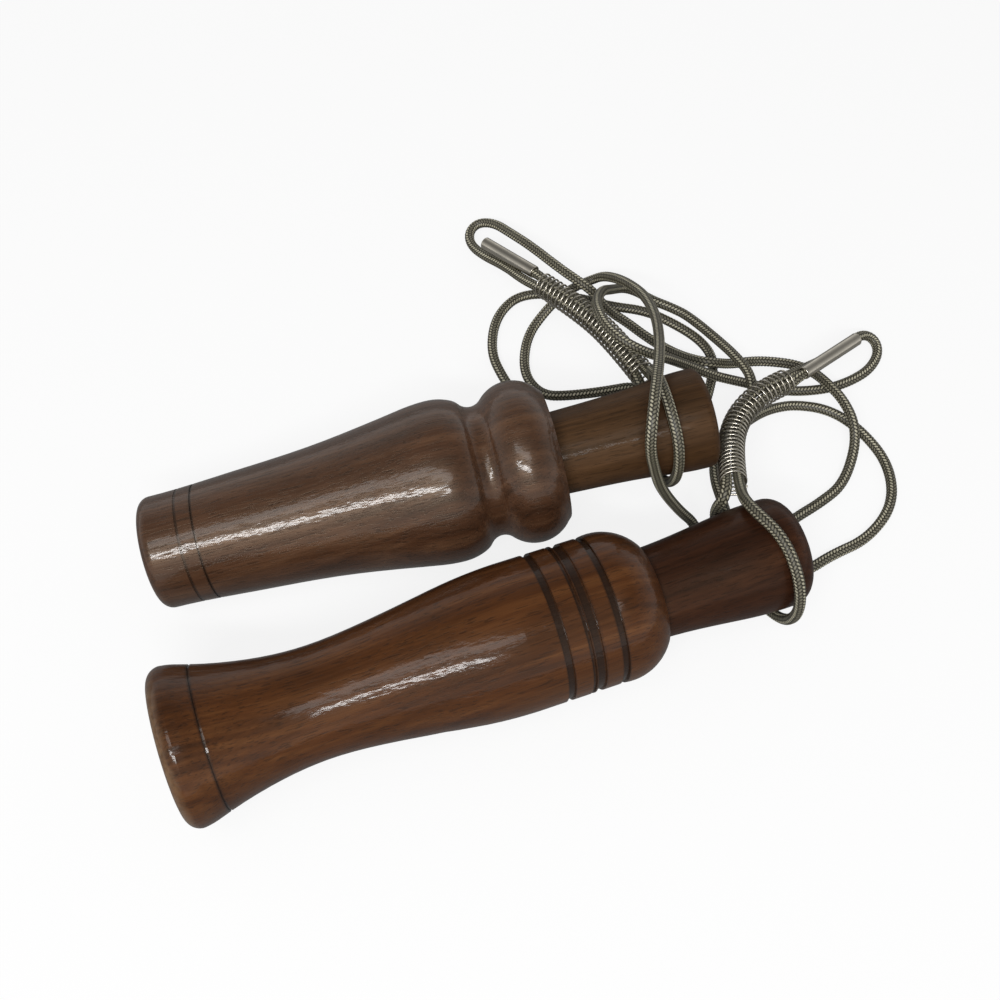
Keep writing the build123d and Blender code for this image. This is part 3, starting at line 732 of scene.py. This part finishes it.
class DUCKCALLS_OT_cord(bpy.types.Operator):
    """Lay the braided cord along its five stretches"""

    bl_idname = "duck_calls.cord"
    bl_label = "Braided cord"

    def execute(self, context):
        settings = context.scene.duck_calls
        finish = braided_cord(settings)
        radius, depth = settings.cord_diameter / 2, settings.braid_depth
        side = Vector((0, 0, 1))
        run = 0.0
        for name, points in STRETCHES:
            line, length = smooth_line(name + "_line", points, BRAID_STEP)
            stride = length / (len(line) - 1) / settings.braid_pitch

            def map_at(number, share):
                return run + number * stride, share

            def radius_at(number, share):
                turns = run + number * stride
                right = BRAID_STRANDS * (share + turns)
                left = BRAID_STRANDS * (share - turns)
                return radius - depth * (1 - braid_height(right, left))

            piece, side = tube(name + "_braid", line, side, BRAID_SIDES, radius_at, map_at)
            run += length / settings.braid_pitch
            piece.data.materials.append(finish)
            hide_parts("cord_" + name)
            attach(piece, ROOT)
            path = line[::-1] if name == "upper_noose" else line
            tuple(path[0])
            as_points(path)
        return {"FINISHED"}


class DUCKCALLS_OT_keepers(bpy.types.Operator):
    """Wind the two keeper springs and finish the ferrules"""

    bl_idname = "duck_calls.keepers"
    bl_label = "Keeper springs and ferrules"

    def execute(self, context):
        settings = context.scene.duck_calls
        tube_finish = bright_metal("nickel_tube", settings.nickel, 0.16)
        dress(("upper_ferrule", "lower_ferrule"), tube_finish)
        finish = bright_metal("spring_wire", settings.nickel, 0.2)
        reach = (settings.curl_diameter - settings.wire_diameter) / 2

        def wire_radius(number, share):
            return settings.wire_diameter / 2

        for name, points in KEEPERS.items():
            line, length = smooth_line(name + "_keeper_line", points, KEEPER_STEP)
            last = len(line) - 1
            wound = length - KEEPER_MARGIN - KEEPER_INSERT_MARGIN
            steps = round(wound / settings.curl_pitch) * CURL_STEPS
            wire = []
            for number in range(steps + 1):
                at = (KEEPER_MARGIN + wound * number / steps) / length * last
                low = min(floor(at), last - 1)
                centre = line[low].lerp(line[low + 1], at - low)
                ahead = (line[min(low + 3, last)] - line[max(low - 2, 0)]).normalized()
                level = Vector((-ahead.y, ahead.x, 0)).normalized()
                up = ahead.cross(level)
                turn = 2 * pi * number / CURL_STEPS
                wire.append(centre + level * (reach * cos(turn)) + up * (reach * sin(turn)))
            upright = Vector((0, 0, 1))
            piece, _ = tube(name + "_keeper_wire", wire, upright, WIRE_SIDES, wire_radius)
            piece.data.materials.append(finish)
            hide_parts(name + "_keeper_spring")
            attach(piece, ROOT)
        return {"FINISHED"}


class DUCKCALLS_PT_panel(bpy.types.Panel):
    """Duck calls' steps and settings"""

    bl_idname = "DUCKCALLS_PT_panel"
    bl_label = "Duck calls"
    bl_space_type = "VIEW_3D"
    bl_region_type = "UI"
    bl_category = "Duck calls"

    def draw(self, context):
        for operator in OPERATORS:
            self.layout.operator(operator.bl_idname)
        for name in DuckCallSettings.__annotations__:
            self.layout.prop(context.scene.duck_calls, name)


OPERATORS = (
    DUCKCALLS_OT_stage, DUCKCALLS_OT_wood, DUCKCALLS_OT_sound_pieces,
    DUCKCALLS_OT_keepers, DUCKCALLS_OT_cord,
)
CLASSES = (DuckCallSettings, *OPERATORS, DUCKCALLS_PT_panel)


def register():
    """Register the classes and their settings."""
    for one in CLASSES:
        bpy.utils.register_class(one)
    bpy.types.Scene.duck_calls = bpy.props.PointerProperty(type=DuckCallSettings)


def unregister():
    """Take the settings and the classes away again."""
    del bpy.types.Scene.duck_calls
    for one in reversed(CLASSES):
        bpy.utils.unregister_class(one)


def main():
    """Build the scene."""
    register()
    bpy.ops.duck_calls.stage()
    bpy.ops.duck_calls.wood()
    bpy.ops.duck_calls.sound_pieces()
    bpy.ops.duck_calls.keepers()
    bpy.ops.duck_calls.cord()


if __name__ == "__main__":
    main()
